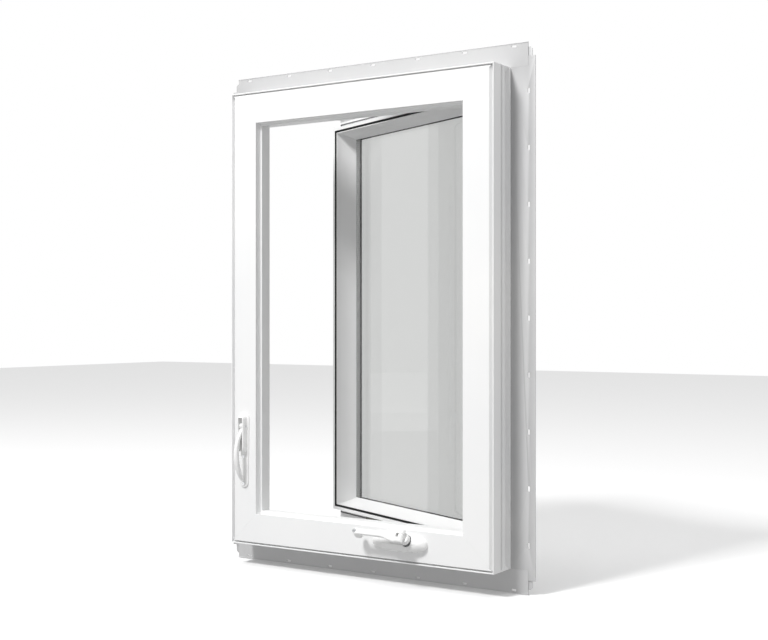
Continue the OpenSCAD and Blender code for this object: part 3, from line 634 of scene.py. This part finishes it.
def sash_bars():
    """The sash's two rails and two stiles, each with the bead that holds the glass in it."""
    size = (SASH_W, SASH_H)
    names = {"top": ("sash_top_rail", "bead_top", VINYL_LEVEL),
             "bottom": ("sash_bottom_rail", "bead_bottom", VINYL_LEVEL),
             "left": ("sash_lock_stile", "bead_lock_side", VINYL_UPRIGHT),
             "right": ("sash_hinge_stile", "bead_hinge_side", VINYL_UPRIGHT)}
    for side, (bar_node, bead_node, material) in names.items():
        bar(bar_node + "_bar", bar_node, SASH_OUTLINE, size, side, in_sash, "sash", "white_vinyl", material)
        points, faces = mitred(bead_outline(), size[0], size[1], side, weld=0.15)
        obj = new_object(bead_node + "_strip", in_sash(points), faces)
        smooth_faces(obj, 30)
        finish_piece(obj, "sash", "white_vinyl", material, bead_node)


def glass_unit():
    """Two panes with a spacer and a dark line of sealant between them, a glazing seal behind, and in front a
    black strip lining the groove beside the bead, which is painted shade for that groove.
    """
    width = SASH_W - 2 * UNIT_INSET
    height = SASH_H - 2 * UNIT_INSET
    for node, depth in (("pane_inner", PANE_DEPTH), ("pane_outer", PANE_DEPTH + UNIT_T - PANE_T)):
        points, faces = slab(width, height, depth, depth + PANE_T, 0.4)
        obj = new_object(node + "_sheet", in_sash(points), faces)
        finish_piece(obj, "sash", "glass", GLASS, node)
    gap_0 = PANE_DEPTH + PANE_T
    gap_1 = PANE_DEPTH + UNIT_T - PANE_T
    spacer = rounded([(0, gap_0 + 0.05), (SPACER_W, gap_0 + 0.05),
                      (SPACER_W, gap_1 - 0.05), (0, gap_1 - 0.05)], 1.2)
    points, faces = mitred(spacer, width, height)
    obj = new_object("glass_spacer_bar", in_sash(points), faces)
    finish_piece(obj, "sash", "spacer", SPACER, "glass_spacer")
    seal_0 = SPACER_W + 0.05
    sealant = rounded([(seal_0, gap_1 - 1.6), (12.4, gap_1 - 0.7),
                       (13.0, gap_1 - 0.02), (seal_0, gap_1 - 0.02)], 0.3)
    points, faces = mitred(sealant, width, height)
    finish_piece(new_object("edge_sealant", in_sash(points), faces), "sash", "seal", SEAL_BLACK)
    # Black strip in the groove between the face strip and the bead: painted shade standing in for the
    # groove's shadow.
    groove_shade_strip = rounded([(STRIP_W + 0.02, SASH_DEPTH_0 + 0.3), (STRIP_W + 0.8, SASH_DEPTH_0 + 0.3),
                      (STRIP_W + 0.9, SASH_DEPTH_0 + 6), (STRIP_W + 3.75, SASH_DEPTH_0 + 6),
                      (STRIP_W + 3.75, SASH_DEPTH_0 + 8.5), (STRIP_W + 0.02, SASH_DEPTH_0 + 8.5)], 0.15)
    points, faces = mitred(groove_shade_strip, SASH_W, SASH_H)
    finish_piece(new_object("bead_groove_painted_shade", in_sash(points), faces), "sash", "seal", SEAL_BLACK)
    back_seal = rounded([(0, gap_1 + PANE_T + 0.02), (3.5, gap_1 + PANE_T + 0.02),
                         (3.5, gap_1 + PANE_T + 0.58), (0, gap_1 + PANE_T + 0.58)], 0.15)
    points, faces = mitred(back_seal, width, height)
    finish_piece(new_object("glazing_seal_strip", in_sash(points), faces), "sash", "seal", SEAL_BLACK,
                 "glazing_seal")


sash_bars()
glass_unit()
bulb_seal("sash_seal", "sash_weatherstrip", SASH_W + 24, SASH_H + 24, 0, SASH_DEPTH_0 + 25.5,
          SASH_DEPTH_0 + 28, in_sash, "sash")


# ---------- crank ----------

COVER_L, COVER_H, COVER_PROUD = 118.0, 34.0, 15.0
COVER_X = CRANK_X - 21
COVER_Z = CRANK_POINT[2] / MM + 1
COVER_SKIRT = 3.2               # the cover's rim stands straight off the face up to here
COVER_BORE_R = 11.05


def cover_dome():
    """The moulded cover: superellipse rings that stand straight off the face, then close over a crown as
    inset = 1 - cos, height = skirt + (proud - skirt) x sin x hill, where hill = 0.5 + 0.56 / (1 + away^4)
    is highest under the crank's axis and falls away to both ends."""
    around = 112
    levels = 18
    angle = np.arange(around) / around * 2 * math.pi
    out_x, out_z = oval(angle, 2.7)
    rise = np.linspace(0, 0.94 * math.pi / 2, levels)
    shrink = np.concatenate([[1.0], np.cos(rise)])[:, None]
    climb = np.concatenate([[0], (COVER_PROUD - COVER_SKIRT) * np.sin(rise)])[:, None]
    x = COVER_X + (COVER_L / 2 - COVER_H / 2 * (1 - shrink)) * out_x
    z = COVER_Z + COVER_H / 2 * shrink * out_z
    away = (x - CRANK_X) / np.where(x < CRANK_X, 46.0, 34.0)
    y = -(COVER_SKIRT + climb * (0.5 + 0.56 / (1 + away ** 4)))
    y[0] = 0
    points = np.stack([x, y, z], axis=-1).reshape(-1, 3)
    faces = grid_faces(levels + 1, around)
    faces += [list(range(around)), list(range(levels * around, (levels + 1) * around))]
    obj = new_object("crank_cover_dome", in_frame(points), faces)
    bore = turned([(0, -18), (COVER_BORE_R, -18), (COVER_BORE_R, 40), (0, 40)], 64)
    cut_away(obj, (on_crank(bore[0]), bore[1]))
    smooth_faces(obj, 30)
    finish_piece(obj, "frame", "white_hardware", CASTING, "operator_cover")


def crank_arm():
    """The folding arm: half width and half thickness follow the distance from the fold pin, with a round
    barrel at the pin, a taper to the waist and a round end for the knob."""
    head, waist, tip, tip_r = 12.4, 5.9, 5.4, 6.6
    lead_in = np.array([6.3, 6.1, 5.7, 5.0, 4.0, 3.0, 2.0, 1.0, 0.0])
    run = -np.linspace(2, CRANK_R - 1, 44)
    end = -CRANK_R - tip_r * np.sin(np.linspace(0, 0.985 * math.pi / 2, 12))
    x = np.concatenate([lead_in, run, end])
    taper = np.clip((-x - 12) / 32, 0, 1)
    ease = taper * taper * (3 - 2 * taper)
    half_w = head + (waist - head) * ease + (tip - waist) * np.clip((-x - 44) / 56, 0, 1)
    past = np.clip(-x - CRANK_R, 0, tip_r)
    swell = np.clip((-x - CRANK_R + 9) / 9, 0, 1)
    half_w = half_w + (tip_r - half_w) * swell * swell * (3 - 2 * swell)
    half_w = np.where(past > 0, np.sqrt(np.maximum(tip_r ** 2 - past ** 2, 0.3)), half_w)
    half_t = np.interp(x, [-14, -7, 0, 1.8, 3.4, 4.6, 5.6, 6.3], [4.2, 6.1, 6.1, 6.0, 5.3, 4.2, 2.8, 0.6])
    half_w = half_w - np.interp(x, [5.4, 6.3], [0, 0.9])
    half_t = np.where(past > 0, 4.2 * np.sqrt(np.maximum(1 - (past / tip_r) ** 4, 0.02)), half_t)
    zero = np.zeros_like(x)
    centres = np.column_stack([x, zero, zero + FOLD_T])
    side = np.tile([0.0, 1.0, 0.0], (len(x), 1))
    rise = np.tile([0.0, 0.0, 1.0], (len(x), 1))
    points, faces = lofted(centres, side, rise, half_w, half_t, power=4.0, steps=40)
    obj = new_object("crank_arm_bar", on_crank(points), faces)
    slot_hole = box_points((-8, -3.5, FOLD_T - 8), (12, 3.5, FOLD_T + 8))
    pin = turned([(0, -12), (2.05, -12), (2.05, 12), (0, 12)], 24)
    pin_points = pin[0][:, [0, 2, 1]] + np.array([0, 0, FOLD_T])
    cut_away(obj, (on_crank(slot_hole[0]), slot_hole[1]), (on_crank(pin_points), pin[1]))
    smooth_faces(obj, 32)
    finish_piece(obj, "crank_arm", "white_hardware", CASTING, "crank_arm")


def crank_knob():
    """The knob: a barrel whose radius swells as a sine between its two ends, bored for its pin."""
    base = FOLD_T - 4.4
    s = np.linspace(0, 1, 17)
    radius = 5.4 + 2.4 * np.sin(math.pi * (0.12 + 0.76 * s)) ** 1.2 - 0.5 * s
    height = base - 0.4 - 15.2 * s
    outer = np.column_stack([radius, height])
    profile = np.vstack([[(2.46, base)], [(4.8, base)], outer, [(4.4, base - 16)], [(2.46, base - 16)]])
    points, _ = turned(profile, 48)
    faces = grid_faces(len(profile), 48, rows_close=True)
    points = points + np.array([-CRANK_R, 0, 0])
    obj = new_object("crank_knob_barrel", on_crank(points), faces)
    smooth_faces(obj, 40)
    finish_piece(obj, "crank_knob", "white_hardware", CASTING, "crank_knob")


cover_dome()
crank_arm()
crank_knob()
finish_piece(eased_copy("crank_hub", 0.5), "crank_shaft", "white_hardware", CASTING, "crank_hub")


# ---------- lock ----------

def lock_plate():
    """The escutcheon: a plate whose rim is two half circles, wide above and narrow below, joined by
    straight sides. A superellipse body stands on it, its width closing over the top as sqrt(1 - up^2),
    with a slot for the lever: through the plate at the pin, shallow above and below it."""
    x0, _, z0 = LEVER_PIN
    top, bottom = z0 + 27, z0 - 122
    top_r, bottom_r = 12.5, 10.0
    angle = np.arange(80) / 80 * 2 * math.pi
    out_x, out_z = np.cos(angle), np.sin(angle)
    half = np.where(out_z > 0, top_r, bottom_r)
    middle = np.where(out_z > 0, top - top_r, bottom + bottom_r)
    level = np.array([0, 1.8, 2.6, 3.0])
    inset = np.array([0, 0, 0.3, 1.1])
    x = x0 + (half[None, :] - inset[:, None]) * out_x
    z = middle[None, :] + (half[None, :] - inset[:, None]) * out_z
    y = np.broadcast_to(-level[:, None], x.shape)
    points = np.stack([x, y, z], axis=-1).reshape(-1, 3)
    faces = grid_faces(4, 80) + [list(range(80)), list(range(240, 320))]
    plate = new_object("lock_escutcheon_plate", in_frame(points), faces)

    heights = np.concatenate([z0 + 23.4 - 9.4 * (1 - np.sin(np.linspace(0.08, math.pi / 2, 12))),
                              np.linspace(z0 + 12, z0 - 44, 12),
                              z0 - 50 + 6 * (1 - np.sin(np.linspace(0.35, math.pi / 2, 6)))])
    heights = np.sort(heights)[::-1]
    up = np.clip((heights - (z0 + 14)) / 9.5, 0, 0.995)
    down = np.clip(((z0 - 44) - heights) / 6.4, 0, 0.995)
    half_w = 8.3 * np.sqrt(1 - up ** 2) * (1 - 0.12 * down ** 2)
    proud = 12.4 * (1 - 0.6 * up ** 3) * (1 - 0.25 * down ** 2)
    zero = np.zeros_like(heights)
    centres = np.column_stack([zero + x0, zero - 2.5, heights])
    side = np.tile([1.0, 0.0, 0.0], (len(heights), 1))
    rise = np.tile([0.0, -1.0, 0.0], (len(heights), 1))
    body_points, body_faces = lofted(centres, side, rise, half_w, proud, power=7.0, steps=56)
    body_points[:, 1] = np.minimum(body_points[:, 1], -1.0)
    join_on(plate, (in_frame(body_points), body_faces))
    slot_half = 4.7
    through = box_points((x0 - slot_half, -20, z0 - 30), (x0 + slot_half, 1, z0 + 6.6))
    channel = box_points((x0 - slot_half, -20, z0 - 52), (x0 + slot_half, -3, z0 - 29))
    above = box_points((x0 - slot_half, -20, z0 + 6), (x0 + slot_half, -4.2, z0 + 17))
    cut_away(plate, (in_frame(through[0]), through[1]), (in_frame(channel[0]), channel[1]),
             (in_frame(above[0]), above[1]))
    smooth_faces(plate, 30)
    finish_piece(plate, "frame", "white_hardware", CASTING, "lock_escutcheon")


def lock_lever():
    """The bowed lever: a superellipse bar along an arc of a circle that bulges towards the room,
    ending in a rounded finger tip, with a boss on its pin and an inner crank. The bar is thickest in the
    middle, by 1.8 x sin(pi s) each way, and mostly on its inner side, because its centre line
    moves inwards by 1.3 x sin(pi s)."""
    x0, pin_depth, z0 = LEVER_PIN[0], LEVER_PIN[1] - ROOM_FACE, LEVER_PIN[2]
    bow_r = 74.5
    centre_y, centre_z = 47.0, z0 - 56
    stations = 56
    angle = np.linspace(math.radians(44), math.radians(-45.5), stations)
    s = np.linspace(0, 1, stations)
    centres = np.column_stack([np.full(stations, x0), centre_y - bow_r * np.cos(angle),
                               centre_z + bow_r * np.sin(angle)])
    side = np.tile([1.0, 0.0, 0.0], (stations, 1))
    rise = np.column_stack([np.zeros(stations), -np.cos(angle), np.sin(angle)])
    end_round = np.sqrt(np.clip(1 - np.clip((s - 0.93) / 0.07, 0, 0.995) ** 2, 0.01, 1))
    half_w = (4.2 + 0.9 * np.sin(math.pi * np.clip((s - 0.25) / 0.75, 0, 1))) * end_round
    half_t = (3.1 + 1.8 * np.sin(math.pi * s)) * end_round
    centres -= rise * 1.3 * np.sin(math.pi * s)[:, None]
    points, faces = lofted(centres, side, rise, half_w, half_t, power=2.6, steps=28)
    lever = new_object("lock_lever_bow", in_frame(points), faces)
    boss = turned([(0, -4.2), (5.2, -4.2), (5.6, -3.8), (5.6, 3.8), (5.2, 4.2), (0, 4.2)], 40)
    boss_points = boss[0][:, [2, 0, 1]] + np.array([x0, pin_depth, z0])
    inner = box_points((x0 - 4.2, pin_depth, z0 - 4), (x0 + 4.2, 7, z0 + 4))
    join_on(lever, (in_frame(boss_points), boss[1]), (in_frame(inner[0]), inner[1]))
    bore = turned([(0, -10), (2.05, -10), (2.05, 10), (0, 10)], 24)
    bore_points = bore[0][:, [2, 0, 1]] + np.array([x0, pin_depth, z0])
    cut_away(lever, (in_frame(bore_points), bore[1]))
    smooth_faces(lever, 35)
    finish_piece(lever, "lock_lever", "white_hardware", CASTING, "lock_lever")


lock_plate()
lock_lever()


# ---------- metal and small parts, on their CAD shapes ----------

EASED = {
    "drip_flap_top": (0.25, "sash", "white_vinyl", VINYL_LEVEL),
    "drip_flap_bottom": (0.25, "sash", "white_vinyl", VINYL_LEVEL),
    # The roller track and operator arm take the steel with painted shade.
    "roller_track": (0.2, "sash", "dark_steel", STEEL_PAINTED_SHADE),
    "lock_keepers": (0.2, "sash", "zinc", ZINC),
    "sash_hinge_arms": (0.25, "sash", "steel", STEEL),
    "hinge_arm_pads": (0.3, "sash", "zinc", ZINC),
    "support_arms": (0.25, "support_arms", "steel", STEEL),
    "hinge_shoes": (0.3, "hinge_shoes", "zinc", ZINC),
    "hinge_tracks": (0.15, "frame", "steel", STEEL),
    "operator_housing": (0.4, "frame", "zinc", ZINC),
    "operator_arm": (0.3, "operator_arm", "dark_steel", STEEL_PAINTED_SHADE),
    "tie_bar": (0.2, "tie_bar", "steel", STEEL_UPRIGHT),
    "tie_bar_fork": (0.2, "tie_bar", "zinc", ZINC),
    "tie_bar_guides": (0.3, "frame", "nylon", NYLON),
}
PLAIN = {
    "frame_weatherstrip": SEAL_GREY, "setting_blocks": NEOPRENE, "hinge_track_screws": ZINC,
    "support_arm_rivets": ZINC, "operator_screws": ZINC, "arm_axle": STEEL, "arm_gear": ZINC,
    "arm_roller": NYLON, "worm_shaft": STEEL, "crank_setscrew": STEEL, "crank_fold_pin": STEEL,
    "crank_knob_pin": STEEL, "lock_screws": STEEL, "lock_lever_pin": STEEL, "tie_bar_rollers": ZINC,
}
for part, (edge, body, slot_name, material) in EASED.items():
    finish_piece(eased_copy(part, edge), body, slot_name, material, part)
for part, material in PLAIN.items():
    for holder in NODES[part].material_slots:
        holder.material = material


# ---------- stage ----------

def area_light(name, place, aim, size, power):
    """A soft rectangular lamp that points at aim."""
    data = bpy.data.lights.new(name, "AREA")
    data.shape = "RECTANGLE"
    data.size, data.size_y = size
    data.energy = power
    lamp = bpy.data.objects.new(name, data)
    lamp.location = place
    lamp.rotation_euler = (Vector(aim) - Vector(place)).to_track_quat("-Z", "Y").to_euler()
    lamp.visible_camera = False
    bpy.context.scene.collection.objects.link(lamp)
    return lamp


LAMPS = {                       # place, size (metres) and power (watts) of each lamp, aimed at the middle
    "key": ((-0.55, -2.8, 3.15), (0.8, 0.8), 146.0),
    "left_glow": ((-4.0, -0.4, 0.4), (2.0, 2.0), 4.0),
    "right_fill": ((4.0, -0.3, 0.6), (2.0, 2.0), 14.0),
}
AMBIENT = 0.5                   # sky strength that lights the object
THROUGH_GLASS = 0.74            # sky strength seen through the panes
FLOOR_HALF = 9.0
ZENITH_POWER = 1.0
ZENITH_ANGLE = math.radians(50)
CAMERA_PLACE = (1.3401, -2.0082, -0.00325)
CAMERA_TURN = (math.radians(90), 0, math.radians(32.568))
CAMERA_LENS = 58.67
CAMERA_SHIFT = -0.01802


def studio():
    """A pale floor under a white sky that lights the object more softly than it shows behind it."""
    corners = np.array([(-1, -1), (1, -1), (1, 1), (-1, 1)]) * FLOOR_HALF
    points = np.column_stack([corners, np.full(4, cad_low.z - 1 * MM)])
    floor = new_object("studio_floor", points, [[0, 1, 2, 3]])
    pale, _ = finish("pale_floor", (0.93, 0.93, 0.93), 0.9, specular=0.1)
    floor.data.materials.append(pale)
    floor.visible_diffuse = False
    floor.visible_transmission = False
    world = bpy.data.worlds.new("studio")
    bpy.context.scene.world = world
    world.use_nodes = True
    nodes, links = world.node_tree.nodes, world.node_tree.links
    sky = nodes["Background"]
    sky.inputs["Color"].default_value = (1, 1, 1, 1)
    rays = nodes.new("ShaderNodeLightPath")
    level = nodes.new("ShaderNodeMapRange")
    level.inputs["To Min"].default_value = AMBIENT
    level.inputs["To Max"].default_value = THROUGH_GLASS
    links.new(rays.outputs["Is Transmission Ray"], level.inputs["Value"])
    seen = nodes.new("ShaderNodeMapRange")
    seen.inputs["To Max"].default_value = 1.0
    links.new(level.outputs["Result"], seen.inputs["To Min"])
    links.new(rays.outputs["Is Camera Ray"], seen.inputs["Value"])
    links.new(seen.outputs["Result"], sky.inputs["Strength"])


def zenith_light():
    """Broad soft light from straight above."""
    data = bpy.data.lights.new("zenith", "SUN")
    data.energy = ZENITH_POWER
    data.angle = ZENITH_ANGLE
    bpy.context.scene.collection.objects.link(bpy.data.objects.new("zenith", data))


studio()
zenith_light()
for lamp_name, (lamp_place, lamp_size, lamp_power) in LAMPS.items():
    area_light(lamp_name, lamp_place, (0, 0, 0), lamp_size, lamp_power)

camera_data = bpy.data.cameras.new("camera")
camera_data.lens = CAMERA_LENS
camera_data.sensor_width = 36.0
camera_data.shift_x = CAMERA_SHIFT
camera = bpy.data.objects.new("camera", camera_data)
camera.location = CAMERA_PLACE
camera.rotation_euler = CAMERA_TURN
bpy.context.scene.collection.objects.link(camera)
bpy.context.scene.camera = camera
bpy.context.scene.view_settings.view_transform = "Standard"
